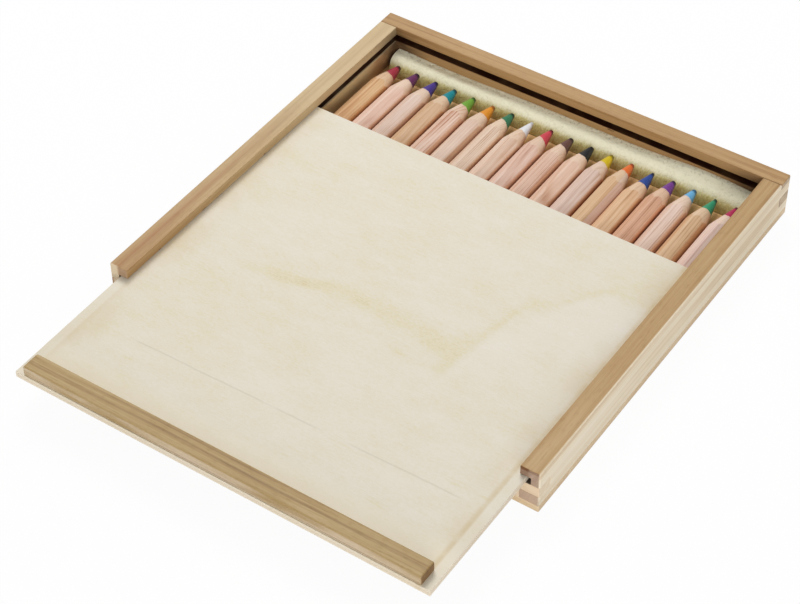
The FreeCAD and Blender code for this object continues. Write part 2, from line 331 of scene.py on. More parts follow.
def groove_burn_and_shade(axis, bare=0.02 * MM):
    """A tint that darkens the lid's groove in a wall that faces along the axis: saw burn and painted
    shade.

    bare is how far into the groove its floor is left undarkened.
    """
    def tint(tree, face):
        spot = place(tree)
        x, y, z = split(spot)
        depth, along = (x, y) if axis == "X" else (y, x.maths("ABSOLUTE"))
        depth = depth.maths("ABSOLUTE") - INNER_FACE[axis]
        inside = depth.between(bare, bare + 0.28 * MM)
        inside = inside * (1.0 - depth.between(GROOVE_DEPTH + 0.02 * MM, GROOVE_DEPTH + 0.1 * MM))
        groove_end = INNER_FACE["X"] + GROOVE_DEPTH
        inside = inside * (1.0 - along.between(groove_end + 0.1 * MM, groove_end + 0.3 * MM))
        inside = inside * z.between(GROOVE_FLOOR - 0.1 * MM, GROOVE_FLOOR - 0.02 * MM)
        inside = inside * (1.0 - z.between(GROOVE_ROOF + 0.02 * MM, GROOVE_ROOF + 0.1 * MM))
        smoke = grainy(resized(spot, (120, 120, 400)), detail=2.0)
        # The groove's dark is saw burn and painted shade.
        face = mixed(inside * (0.95 + (smoke - 0.5) * 0.6), face, "361608")
        corner = along.between(72 * MM, 91 * MM)
        # Painted light: on the left wall the groove's up-facing floor is darkened less, to a lighter
        # brown, away from the back corner.
        wear_and_lit_floor = facing(tree, "Z").between(0.6, 0.9) * (1.0 - corner) * x.between(0.0, -1 * MM)
        wear_and_lit_floor = wear_and_lit_floor * along.between(46 * MM, 58 * MM) * smoke.between(0.3, 0.6)
        face = mixed(inside * wear_and_lit_floor * 0.12, face, "8A6046")
        # Painted shade: the inner face near the back corner is darkened, more so lower down.
        on_face = 1.0 - depth.between(0.1 * MM, 0.3 * MM)
        corner_shade = grainy(resized(spot, (70, 70, 120)), detail=3.0).between(0.2, 0.5)
        low = 1.0 - z.between(14 * MM, 21 * MM)
        face = mixed(on_face * corner * corner_shade * (0.3 + low * 0.5), face, "341E14")
        torn = grainy(resized(spot, (110, 110, 500)), detail=3.0, roughness=0.7)
        torn = torn.between(0.56, 0.72) * (1.1 * MM)
        from_middle = (z - (GROOVE_FLOOR + GROOVE_ROOF) / 2).maths("ABSOLUTE")
        chip = (torn - from_middle + (GROOVE_ROOF - GROOVE_FLOOR) / 2).between(0.0, 0.25 * MM)
        chip = chip * depth.between(-0.4 * MM, -0.2 * MM) * (1.0 - depth.between(0.0, 0.1 * MM))
        return mixed(chip * 0.8, face, "46281A")
    return tint


def heartwood(tree, face):
    """Reddish streaks that grow towards the front, the burnt groove with its painted shade, a pale front
    end, and painted light on the inner face below the groove with painted shade towards its back.
    """
    x, y, z = split(place(tree))
    waver = (grainy(joined(tree, 0.0, y * 12, 4.0), detail=2.0) - 0.5) * (3 * MM)
    broken = grainy(joined(tree, x * 500, y * 9, 2.0), detail=3.0)
    streak = 1.0 - (x + 98.6 * MM + waver).maths("ABSOLUTE").between(0.4 * MM, 2.4 * MM)
    reach = 1.0 - y.between(-95 * MM, 30 * MM) * 0.75
    face = mixed(streak * broken.between(0.3, 0.6) * reach * 0.6, face, "9A6038")
    face = mixed(y.between(-30 * MM, 50 * MM) * 0.4, face, "DCC8A2")
    face = mixed((1.0 - y.between(-95 * MM, -20 * MM)) * 0.35, face, "A87A48")
    # Painted light: the inner face below the groove is lifted paler, except towards the back corner,
    # where painted shade darkens it.
    inside = x.between(-INNER_FACE["X"] - 0.3 * MM, -INNER_FACE["X"] - 0.1 * MM)
    inside = inside * (1.0 - z.between(GROOVE_FLOOR - 0.4 * MM, GROOVE_FLOOR - 0.1 * MM))
    rear = y.between(66 * MM, 80 * MM)
    face = mixed(inside * (1.0 - rear) * 0.6, face, "E8CE98")
    face = mixed(inside * rear, face, "FBE2CF", "MULTIPLY")
    face = groove_burn_and_shade("X", bare=0.5 * MM)(tree, face)
    front = y.between(CASE_FRONT + 0.65 * MM, CASE_FRONT + 0.05 * MM)
    lip = x.between(-99.5 * MM, -97.5 * MM) * z.between(15.5 * MM, 17.5 * MM)
    return mixed(front * (1.0 - lip * 0.9), face, "E4D0B0")


def sapwood_and_lit_side(tree, face):
    """The burnt groove with painted shade, the pale outer face with a few grey-brown streaks, partly
    sapwood and partly painted light, and painted shade in the groove's mouth.
    """
    face = groove_burn_and_shade("X")(tree, face)
    x, y, z = split(place(tree))
    streaks = grainy(joined(tree, x * 300, y * 5, z * 330), detail=3.0, roughness=0.6)
    fine = grainy(joined(tree, x * 900, y * 14, z * 1500), detail=3.0, roughness=0.65)
    pale = ramp(0.5 + (streaks - 0.5) * 1.3 + (fine - 0.5) * 0.7,
                [(0.1, "FBF2E0"), (0.5, "F2E4CA"), (0.9, "D2B690")])
    # The outer face is painted pale: partly the plank's sapwood, partly painted light on that side.
    outer = x.between(CASE_SIDE - 0.9 * MM, CASE_SIDE - 0.2 * MM)
    face = mixed(outer * 0.9, face, pale)
    depth = x - INNER_FACE["X"]
    # Painted shade: the groove's open mouth at the front end is near black.
    mouth_shade = y.between(-92 * MM, -99 * MM) * depth.between(0.2 * MM, 0.6 * MM)
    mouth_shade = mouth_shade * (1.0 - depth.between(GROOVE_DEPTH + 0.2 * MM, GROOVE_DEPTH + 0.4 * MM))
    mouth_shade = mouth_shade * z.between(GROOVE_FLOOR - 0.2 * MM, GROOVE_FLOOR - 0.02 * MM)
    mouth_shade = mouth_shade * (1.0 - z.between(GROOVE_ROOF + 0.02 * MM, GROOVE_ROOF + 0.2 * MM))
    face = mixed(mouth_shade, face, "180C08")
    seam = y.between(INNER_FACE["Y"] - 0.45 * MM, INNER_FACE["Y"] - 0.05 * MM)
    seam = seam * z.between(CASE_TOP - 0.5 * MM, CASE_TOP - 0.1 * MM)
    face = mixed(seam * 0.75, face, "4A3220")
    front = y.between(CASE_FRONT + 0.55 * MM, CASE_FRONT + 0.05 * MM) * (1.0 - outer)
    lip = 1.0 - x.between(96.5 * MM, 98.5 * MM)
    top = z.between(CASE_TOP - 1.8 * MM, CASE_TOP - 0.8 * MM)
    golden = front * z.between(15.5 * MM, 17.0 * MM) * (lip * 0.5 + top * 0.4)
    face = mixed(golden, face, "9A6E38", "MULTIPLY")
    low_end = 1.0 - z.between(9 * MM, 12 * MM)
    return mixed(front * low_end * 0.4, face, "E8C8AC")


def groove_shade_brown_end(tree, face):
    """The front wall's top is painted near black as shade where the lid's grooves start, and its left
    end is browner.
    """
    x, _, z = split(place(tree))
    depth = x.maths("ABSOLUTE") - INNER_FACE["X"]
    # Painted shade: the top is near black where it lies in the grooves' mouths, under the lips.
    groove = depth.between(0.2 * MM, 0.5 * MM)
    groove = groove * (1.0 - depth.between(GROOVE_DEPTH - 0.1 * MM, GROOVE_DEPTH + 0.2 * MM))
    groove = groove * z.between(GROOVE_FLOOR - 0.3 * MM, GROOVE_FLOOR - 0.02 * MM)
    face = mixed(groove * 0.92, face, "1E120C")
    left_end = x.between(1.5 * MM - CASE_SIDE, 0.5 * MM - CASE_SIDE)
    return mixed(left_end, face, "CCAE90", "MULTIPLY")


WALLS = {
    # piece: (construction piece, fibres along, face tones, end tones, ring mm, heart mm, seed,
    #         tint, which adds marks, painted shade and painted light)
    "left_bar": ("left_wall", "Y", ("C8AE84", "B8996C", "90693F"), ("9A7E68", "BFA48A"),
                 2.4, (70, 25), 1.0, heartwood),
    "right_bar": ("right_wall", "Y", ("C4A678", "AE8A59", "865E35"), ("A78C78", "C8AE98"),
                  2.8, (-160, 20), 2.0, sapwood_and_lit_side),
    "back_bar": ("back_wall", "X", ("C2A072", "B08A5A", "825A33"), ("B09A82", "D2BEA2"),
                 2.2, (25, 90), 4.0, groove_burn_and_shade("Y")),
    "front_bar": ("front_wall", "X", ("FBEAD0", "F2DABA", "D2B088"), ("E0CCAE", "F4E6CE"),
                  2.6, (35, 60), 5.0, groove_shade_brown_end),
}
for name, (node, *growth) in WALLS.items():
    wood = sawn_wood(name + "_wood", *growth)
    stands_for(sanded(name, node, wood), node, "case")


# ---- Foam strip --------------------------------------------------------------------------
# A strip of soft cream foam glued against the back wall, so that the points never strike the
# wood. Its front is round and its cut surface is open and a little furry.

def make_foam(name):
    """The foam's skin: a rounded section along the box, sunk a little by its own roughness."""
    low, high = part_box("foam_strip")
    radius = 10 * MM
    run = math.sqrt((high.z - low.z) * (2 * radius - (high.z - low.z)))
    centre_y, centre_z = low.y + run, high.z - radius
    start = math.atan2(low.z - centre_z, low.y - centre_y)
    step, round_steps, back_steps, base_steps = 0.5 * MM, 26, 6, 8
    outline = []
    for i in range(round_steps + 1):
        angle = start + (math.pi / 2 - start) * i / round_steps
        outline.append((centre_y + radius * math.cos(angle), centre_z + radius * math.sin(angle)))
    top_steps = round((high.y - centre_y) / step)
    outline += [(centre_y + (high.y - centre_y) * i / top_steps, high.z)
                for i in range(1, top_steps + 1)]
    outline += [(high.y, high.z - (high.z - low.z) * i / back_steps)
                for i in range(1, back_steps + 1)]
    outline += [(high.y - (high.y - low.y) * i / base_steps, low.z) for i in range(1, base_steps)]
    columns = round((high.x - low.x) / step)
    shell = bmesh.new()
    rows = []
    for column in range(columns + 1):
        x = low.x + (high.x - low.x) * column / columns
        row = [shell.verts.new((x, y, z)) for y, z in outline]
        rows.append(row)
    count = len(outline)
    for near, far in zip(rows, rows[1:]):
        for i in range(count):
            shell.faces.new((near[i], near[(i + 1) % count], far[(i + 1) % count], far[i]))
    for row, flipped in ((rows[0], True), (rows[-1], False)):
        middle = shell.verts.new((row[0].co.x, (low.y + high.y) / 2, (low.z + high.z) / 2))
        for i in range(count):
            ends = (row[i], row[(i + 1) % count], middle)
            shell.faces.new(ends[::-1] if flipped else ends)
    bmesh.ops.recalc_face_normals(shell, faces=shell.faces)
    shell.normal_update()
    # The back edge's waves: each one's place along the box, its spread and its height.
    waves = [(68 * MM, 22 * MM, 2.0 * MM), (-60 * MM, 28 * MM, -1.2 * MM)]
    # The left end's slanting cut: how long it is at the top, and how far its foot leans in.
    cut_length, cut_lean = 7 * MM, 2.6 * MM
    for vertex in shell.verts:
        spot = vertex.co.copy()
        visible = spot.z > low.z + 0.01 * MM and spot.y < high.y - 0.01 * MM
        soft = noise.fractal(spot * 120, 0.6, 2.0, 3) * 0.5 + 0.5
        furry = noise.noise(Vector((spot.x * 900, spot.y * 420, spot.z * 420))) * 0.5 + 0.5
        pit = max(0.0, noise.noise(spot * 640) - 0.35) * 1.6
        near_back = max(0.0, min(1.0, (spot.y - centre_y + 3 * MM) / (4 * MM)))
        sink = (0.25 * soft + 0.12 * furry + pit * (0.2 + 0.5 * near_back)) * MM
        if visible:
            vertex.co = spot - vertex.normal * sink
        swell = sum(rise * math.exp(-((spot.x - at) / spread) ** 2) for at, spread, rise in waves)
        height = (spot.z - low.z) / (high.z - low.z)
        vertex.co.z += swell * near_back * height
        from_end = max(0.0, 1.0 - (spot.x - low.x) / cut_length)
        vertex.co.x += cut_lean * from_end * (1.0 - height)
    mesh = bpy.data.meshes.new(name)
    shell.to_mesh(mesh)
    shell.free()
    for polygon in mesh.polygons:
        polygon.use_smooth = True
    piece = bpy.data.objects.new(name, mesh)
    bpy.context.scene.collection.objects.link(piece)
    return piece


def foam_material():
    """Cream foam: tufts and open cells, painted darker and yellower at its foot as shade, a painted
    highlight along its crown, painted light on its back, and flecks along its back edge.
    """
    material, tree, shader = new_material("foam_skin")
    spot = place(tree)
    tufts = grainy(resized(spot, (1500, 650, 650)), detail=3.0, roughness=0.75)
    patches = grainy(resized(spot, (160, 160, 160)), detail=2.0)
    cells = grainy(resized(spot, (900, 900, 900)), detail=1.0).between(0.56, 0.7)
    low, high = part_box("foam_strip")
    _, y, z = split(spot)
    back = y.between(high.y - 4.0 * MM, high.y - 1.5 * MM)
    foot_shade = z.between(high.z - 0.1 * MM, low.z + 3.0 * MM)
    crown_highlight = y.between(low.y + 3 * MM, low.y + 6 * MM)
    crown_highlight = crown_highlight * (1.0 - y.between(low.y + 7 * MM, low.y + 10 * MM))
    # Painted shade at the foot, a painted highlight along the crown, and painted light on the back, which
    # the back wall shades.
    tone = (0.7 + (tufts - 0.5) * 0.6 + (patches - 0.5) * 0.3 - foot_shade * 0.58 + crown_highlight * 0.12
            + back * 0.2)
    face = ramp(tone, [(0.0, "B89E54"), (0.22, "D8CA88"), (0.45, "EEE7C2"), (0.8, "FFFADC")])
    face = mixed(cells * (0.02 + back * 0.3), face, "8A7440")
    tree.links.new(face, shader.inputs["Base Color"])
    shader.inputs["Roughness"].default_value = 0.95
    shader.inputs["Specular IOR Level"].default_value = 0.1
    shader.inputs["Sheen Weight"].default_value = 0.25
    shader.inputs["Sheen Roughness"].default_value = 0.6
    bump(shader, tufts * 0.8 - cells * 0.6, 0.25 * MM)
    return material


foam = make_foam("foam_cushion")
foam.data.materials.append(foam_material())
stands_for(foam, "foam_strip", "case")


# ---- Lid ---------------------------------------------------------------------------------
# A sheet of three-ply birch, unfinished and cream coloured, which slides in the groove. The
# part of its long edges that rides in the groove has stayed paler than the rest.

def ply_material():
    """Rotary-cut veneer: mottled cream, one winding yellow growth ring, and layered edges."""
    material, tree, shader = new_material("birch_ply")
    spot = place(tree)
    x, y, z = split(spot)
    low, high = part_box("lid_panel")
    specks = grainy(joined(tree, x * 700, y * 1300, z * 700), detail=3.0, roughness=0.8)
    fibres = grainy(joined(tree, x * 90, y * 2100, z * 2100), detail=3.0, roughness=0.65)
    mottle = grainy(joined(tree, x * 55, y * 120, z * 50), detail=4.0, roughness=0.6)
    drift = grainy(joined(tree, x * 9, y * 22, 0.4), detail=3.0, roughness=0.55, warp=0.6)
    streaks = grainy(joined(tree, x * 22, y * 130, 3.0), detail=3.0, roughness=0.6)
    streaks_along = grainy(joined(tree, x * 28, y * 20, 11.0), detail=3.0)
    streaks = streaks.between(0.62, 0.74) * drift.between(0.44, 0.6)
    waver = (grainy(joined(tree, x * 60, y * 60, 7.0), detail=2.0) - 0.5) * (6 * MM)
    ring = y + waver + 67 * MM
    # The ring's bends: where along x each begins and ends, and how far it goes to the front.
    for start, end, bend in ((-60, -10, -9), (15, 32, 4), (40, 50, -36), (48, 76, -28)):
        ring = ring + x.between(start * MM, end * MM) * (bend * MM)
    wide = x.between(-35 * MM, 18 * MM) * (1.0 - x.between(38 * MM, 50 * MM))
    steep = x.between(34 * MM, 41 * MM) * (1.0 - x.between(52 * MM, 66 * MM))
    reach = ring.maths("ABSOLUTE") / (3.4 * MM + wide * (3.6 * MM) + steep * (10 * MM))
    river = (1.0 - reach.between(0.1, 1.5)) * x.between(-85 * MM, -30 * MM) * mottle.between(0.2, 0.5)
    river = river * (1.0 - x.between(38 * MM, 55 * MM) * 0.45)
    pale = ring.between(2 * MM, -6 * MM) * ring.between(-55 * MM, -20 * MM)
    pale = pale * x.between(38 * MM, 52 * MM)
    tone = (0.54 + (specks - 0.5) * 0.6 + (fibres - 0.5) * 0.3 + (mottle - 0.5) * 0.36
            + (drift - 0.5) * 0.25 - river * 0.16 - streaks * 0.16 + pale * 0.1)
    face = ramp(tone, [(0.1, "CBB788"), (0.38, "DCD2B4"), (0.54, "E0D8C6"), (0.85, "E6E0D4")])
    check_line = (y + 125 * MM - x * 0.02 + waver * 0.15).maths("ABSOLUTE")
    check_line = (1.0 - check_line.between(0.05 * MM, 0.65 * MM)) * streaks_along.between(0.45, 0.6)
    face = mixed(check_line * 0.2, face, "9E9478")
    from_middle = (x - (low.x + high.x) / 2).maths("ABSOLUTE")
    # Handling darkens the lid near its long edges and front; near the side walls this is also painted
    # shade.
    handled_and_shade = from_middle.between(76 * MM, 93 * MM) + y.between(-140 * MM, -157 * MM) * 0.4
    handled_and_shade = handled_and_shade * grainy(joined(tree, x * 45, y * 35, 5.0), detail=3.0).between(0.3, 0.75)
    face = mixed(handled_and_shade * 0.34, face, "C9B07E")
    # Painted light: paler just behind the pull strip, where the strip's shadow falls.
    face = mixed(y.between(-140 * MM, -153 * MM) * 0.5, face, "EFE4CA")
    rim = from_middle.between(92.2 * MM, 93.4 * MM)
    line = from_middle.between(89.6 * MM, 91.8 * MM) - from_middle.between(92.0 * MM, 93.2 * MM)
    face = mixed(rim * 0.3, face, "E6E0D2")
    line = line * (0.25 + x.between(0.0, 0.02) * 0.75)
    face = mixed(line * mottle.between(0.2, 0.6) * 0.4, face, "C0A466")
    height = (z - low.z) / (high.z - low.z)
    core = height.between(0.3, 0.36) - height.between(0.64, 0.7)
    edge = 1.0 - facing(tree, "Z").between(0.3, 0.6)
    face = mixed(edge * 0.5, face, "EEDCC4")
    face = mixed(edge * core * 0.14, face, "B39A7C")
    tree.links.new(face, shader.inputs["Base Color"])
    rough = 0.55 + (fibres - 0.5) * 0.2
    tree.links.new(rough.socket, shader.inputs["Roughness"])
    shader.inputs["Specular IOR Level"].default_value = 0.25
    bump(shader, fibres * 0.5 + specks * 0.5, 0.04 * MM)
    return material


lid_sheet = sanded("lid_sheet", "lid_panel", ply_material(), edge=0.15, steps=2)
stands_for(lid_sheet, "lid_panel", "lid")


# ---- Pull strip --------------------------------------------------------------------------
# A bar of the walls' wood glued on the lid's front edge. It fills the open front between the
# side walls' lips when the lid is shut, and it is what the fingers push.

def handled_strip(tree, face):
    """One dark heartwood streak along the top, a paler front and a dark line low on it."""
    x, y, z = split(place(tree))
    low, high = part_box("lid_pull_strip")
    waver = (grainy(joined(tree, x * 14, 0.0, 0.0), detail=2.0) - 0.5) * (2.4 * MM)
    broken = grainy(joined(tree, x * 30, y * 500, z * 200), detail=3.0)
    streak = (y - low.y - 4.4 * MM + waver).maths("ABSOLUTE")
    streak = (1.0 - streak.between(0.2 * MM, 0.9 * MM)) * broken.between(0.35, 0.65)
    face = mixed(streak * 0.36, face, "6E4C2A")
    face = mixed(x.between(high.x - 0.9 * MM, high.x - 0.1 * MM) * 0.4, face, "5E4022")
    front = 1.0 - y.between(low.y + 0.05 * MM, low.y + 0.5 * MM)
    face = mixed(front * broken.between(0.3, 0.7) * 0.65, face, "E2CFB6")
    from_line = (z - low.z - 1.1 * MM + waver * 0.15).maths("ABSOLUTE")
    line = (1.0 - from_line.between(0.1 * MM, 0.45 * MM)) * broken.between(0.4, 0.65)
    return mixed(front * line * 0.4, face, "5E4026")


strip_wood = sawn_wood("strip_wood", "X", ("C2AA7E", "AC8F5E", "7E5C36"), ("8A6C48", "A8865A"),
                       ring=1.7, heart=(20, 75), seed=7.0, tint=handled_strip)
pull_strip = sanded("pull_strip", "lid_pull_strip", strip_wood, edge=0.7)
stands_for(pull_strip, "lid_pull_strip", "lid")


# ---- Pencils -----------------------------------------------------------------------------
# Eighteen jumbo pencils of unvarnished cedar, each glued up from two slats round a thick
# coloured lead. They are sharpened a little off centre, so the wood ends in a wavy line.

PENCIL_WIDTH = 10 * MM
EDGE_RADIUS = 1.5 * MM
POINT_ANGLE = math.radians(12.5)
TIP_SHARE = 0.4  # the worn end's height over its radius


class Tree:
    """A geometry node tree with named inputs, which turns a grid into one piece of a pencil."""

    def __init__(self, name, inputs):
        self.nodes_tree = bpy.data.node_groups.new(name, "GeometryNodeTree")
        self.nodes_tree.is_modifier = True
        face = self.nodes_tree.interface
        face.new_socket("Geometry", in_out="OUTPUT", socket_type="NodeSocketGeometry")
        for title, kind in inputs.items():
            face.new_socket(title, in_out="INPUT", socket_type="NodeSocket" + kind)
        self.entry = self.nodes_tree.nodes.new("NodeGroupInput")
        self.exit = self.nodes_tree.nodes.new("NodeGroupOutput")

    def given(self, title):
        """The number that a pencil gives for a named input."""
        return Field(self.entry.outputs[title])

    def add(self, kind, inputs=None, **settings):
        """A node with its settings and inputs, each a socket, a number or a field."""
        node = self.nodes_tree.nodes.new(kind)
        for key, item in settings.items():
            setattr(node, key, item)
        for key, item in (inputs or {}).items():
            source = item.socket if isinstance(item, Field) else item
            if isinstance(source, bpy.types.NodeSocket):
                self.nodes_tree.links.new(source, node.inputs[key])
            else:
                node.inputs[key].default_value = source
        return node

    def turned_grid(self, stages, sides):
        """A grid whose rows pass through the stages; returns it, the angle and each progress."""
        rows = sum(stages.values())
        grid = self.add("GeometryNodeMeshGrid", {"Size X": 1.0, "Size Y": 1.0,
                                                 "Vertices X": rows + 1, "Vertices Y": sides + 1})
        spot = self.add("GeometryNodeInputPosition")
        across, around, _ = split(spot.outputs[0])
        row = (across + 0.5) * rows
        angle = (around + 0.5) * (2 * math.pi)
        progress, passed = {}, 0
        for stage, count in stages.items():
            progress[stage] = ((row - passed) / count).maths("ADD", 0.0, clamp=True)
            passed += count
        return grid.outputs["Mesh"], angle, progress

    def wavy(self, angle, times, seed):
        """Noise from 0 to 1 that closes round the axis."""
        ring = self.add("ShaderNodeCombineXYZ", {"X": angle.maths("SINE") * times,
                                                 "Y": angle.maths("COSINE") * times, "Z": seed * 7.3})
        return grainy(ring.outputs[0], detail=1.0)

    def finish(self, grid, angle, radius, along, marks):
        """Wrap the grid round the axis, weld it shut, place it and give it marks and material."""
        place_at = self.add("ShaderNodeCombineXYZ", {"X": radius * angle.maths("SINE"), "Y": along,
                                                     "Z": radius * angle.maths("COSINE")})
        mesh = grid
        for title, item in marks.items():
            stored = self.add("GeometryNodeStoreNamedAttribute",
                              {"Geometry": mesh, "Name": title, "Value": item},
                              data_type="FLOAT", domain="POINT")
            mesh = stored.outputs[0]
        wrapped = self.add("GeometryNodeSetPosition", {"Geometry": mesh, "Position": place_at.outputs[0]})
        welded = self.add("GeometryNodeMergeByDistance",
                          {"Geometry": wrapped.outputs[0], "Distance": 0.002 * MM})
        outward = self.add("GeometryNodeFlipFaces", {"Mesh": welded.outputs[0]})
        smooth = self.add("GeometryNodeSetShadeSmooth", {"Geometry": outward.outputs[0]})
        turn = self.add("ShaderNodeCombineXYZ", {"Y": self.given("Roll")})
        euler = self.add("FunctionNodeEulerToRotation", {0: turn.outputs[0]})
        placed = self.add("GeometryNodeTransform", {
            "Geometry": smooth.outputs[0], "Translation": self.entry.outputs["Place"],
            "Rotation": euler.outputs[0]})
        solid = self.add("GeometryNodeRealizeInstances", {0: placed.outputs[0]})
        painted = self.add("GeometryNodeSetMaterial", {
            "Geometry": solid.outputs[0], "Material": self.entry.outputs["Material"]})
        self.nodes_tree.links.new(painted.outputs[0], self.exit.inputs[0])


NUMBERS = ("Length", "Width", "Edge radius", "Lead radius", "Point angle", "Blunt radius",
           "Off centre", "Lean", "Roll", "Seed")
PENCIL_INPUTS = {**dict.fromkeys(NUMBERS, "Float"), "Place": "Vector", "Material": "Material"}


def sharpened_cone(tree, angle, along):
    """The sharpener's cone: its radius at an angle and a place along, its apex, slope and lean."""
    slope = tree.given("Point angle").maths("TANGENT")
    blunt = tree.given("Blunt radius")
    apex = tree.given("Length") - blunt * TIP_SHARE + blunt / slope
    lean = (angle - tree.given("Lean")).maths("COSINE") * tree.given("Off centre")
    return (apex - along) * slope + lean, apex, slope, lean


def barrel_tree():
    """The wooden barrel: butt, soft hexagon, scalloped shoulder, cone, ragged rim and bore."""
    tree = Tree("pencil_barrel", PENCIL_INPUTS)
    grid, angle, step = tree.turned_grid(
        {"butt": 3, "nose": 2, "barrel": 14, "shoulder": 24, "cone": 14, "rim": 2, "bore": 2}, 96)
    half, edge, lead = tree.given("Width") * 0.5, tree.given("Edge radius"), tree.given("Lead radius")
    seed = tree.given("Seed")
    centre = half - edge
    from_flat = angle.maths("PINGPONG", math.pi / 6)
    from_edge = math.pi / 6 - from_flat
    flats = edge + centre * math.cos(math.pi / 6)
    on_flat = from_flat.maths("LESS_THAN", (centre * 0.5).maths("ARCTAN2", flats))
    sweep = centre * from_edge.maths("SINE")
    rounded = centre * from_edge.maths("COSINE") + (edge * edge - sweep * sweep).maths("SQRT")
    hexagon = on_flat * (flats / from_flat.maths("COSINE")) + (1.0 - on_flat) * rounded
    _, apex, slope, lean = sharpened_cone(tree, angle, 0.0)
    ragged = tree.wavy(angle, 1.3, seed) * 1.1 + tree.wavy(angle, 7.0, seed) * 0.6
    wood_end = apex + (lean - lead) / slope - (ragged - 0.55) * (1.1 * MM)
    shoulder_start = apex - (half + 0.6 * MM) / slope
    shoulder_end = apex - (flats - 0.5 * MM) / slope
    nose, chamfer = 0.3 * MM, 0.2 * MM
    along = (step["nose"] * nose + step["barrel"] * (shoulder_start - nose)
             + step["shoulder"] * (shoulder_end - shoulder_start)
             + step["cone"] * (wood_end - shoulder_end) - step["bore"] * wood_end)
    cone, _, _, _ = sharpened_cone(tree, angle, along)
    blade = (tree.wavy(angle, 2.5, seed + 3.0) - 0.5) * (0.10 * MM)
    outside = hexagon.maths("SMOOTH_MIN", cone + blade, 0.05 * MM) - (1.0 - step["nose"]) * chamfer
    radius = lead + (step["butt"] - step["rim"]) * (outside - lead)
    cut = (hexagon - cone).between(-0.05 * MM, 0.15 * MM)
    near_lead = (wood_end - along).between(2.6 * MM, 0.0)
    tree.finish(grid, angle, radius, along, {"sharpened": cut, "near_lead": near_lead})
    return tree.nodes_tree


def lead_tree():
    """The coloured lead: butt, core in the bore, bare cone and a worn, flattened tip."""
    tree = Tree("pencil_lead", PENCIL_INPUTS)
    grid, angle, step = tree.turned_grid({"butt": 3, "core": 3, "bare": 18, "tip": 9}, 48)
    lead, blunt = tree.given("Lead radius"), tree.given("Blunt radius")
    _, apex, slope, _ = sharpened_cone(tree, angle, 0.0)
    tip_height = blunt * TIP_SHARE
    tip_start = tree.given("Length") - tip_height
    bare_start = apex - lead / slope - 1.6 * MM
    turn = step["tip"] * (math.pi / 2)
    squareness = 2 / 2.7
    along = (step["core"] * bare_start + step["bare"] * (tip_start - bare_start)
             + turn.maths("SINE") ** squareness * tip_height)
    cone, _, _, _ = sharpened_cone(tree, angle, along.maths("MINIMUM", tip_start))
    uneven = (tree.wavy(angle, 1.8, tree.given("Seed") + 5.0) - 0.5) * 0.35
    wear_and_lit_floor = 1.0 + uneven * step["tip"].between(0.0, 0.2)
    radius = (lead.maths("MINIMUM", cone) * step["butt"]
              * turn.maths("COSINE").maths("MAXIMUM", 0.0) ** squareness * wear_and_lit_floor)
    dark_end_length = 3.2 * MM
    near_tip = (along - (tree.given("Length") - dark_end_length)) / dark_end_length
    tree.finish(grid, angle, radius, along, {"near_tip": near_tip, "turned": angle})
    return tree.nodes_tree


def grown(name, tree, values):
    """One pencil piece as a plain mesh, from a tree and the values of its named inputs."""
    seedling = bpy.data.objects.new(name + "_seed", bpy.data.meshes.new(name))
    bpy.context.scene.collection.objects.link(seedling)
    modifier = seedling.modifiers.new("shape", "NODES")
    modifier.node_group = tree
    for item in tree.interface.items_tree:
        if item.in_out == "INPUT":
            modifier[item.identifier] = values[item.name]
    return plain_mesh(seedling, name)


def flat_angle(node):
    """How far a construction barrel is rolled from lying on a flat, in radians."""
    lengthwise = [p for p in nodes[node].data.polygons if abs(p.normal.y) < 0.001]
    widest = max(lengthwise, key=lambda p: p.area)
    return math.atan2(widest.normal.x, widest.normal.z) % (math.pi / 3)


def marked(tree, title):
    """A number that the mesh itself carries at each of its points."""
    node = tree.nodes.new("ShaderNodeAttribute")
    node.attribute_name = title
    return Field(node.outputs["Fac"])


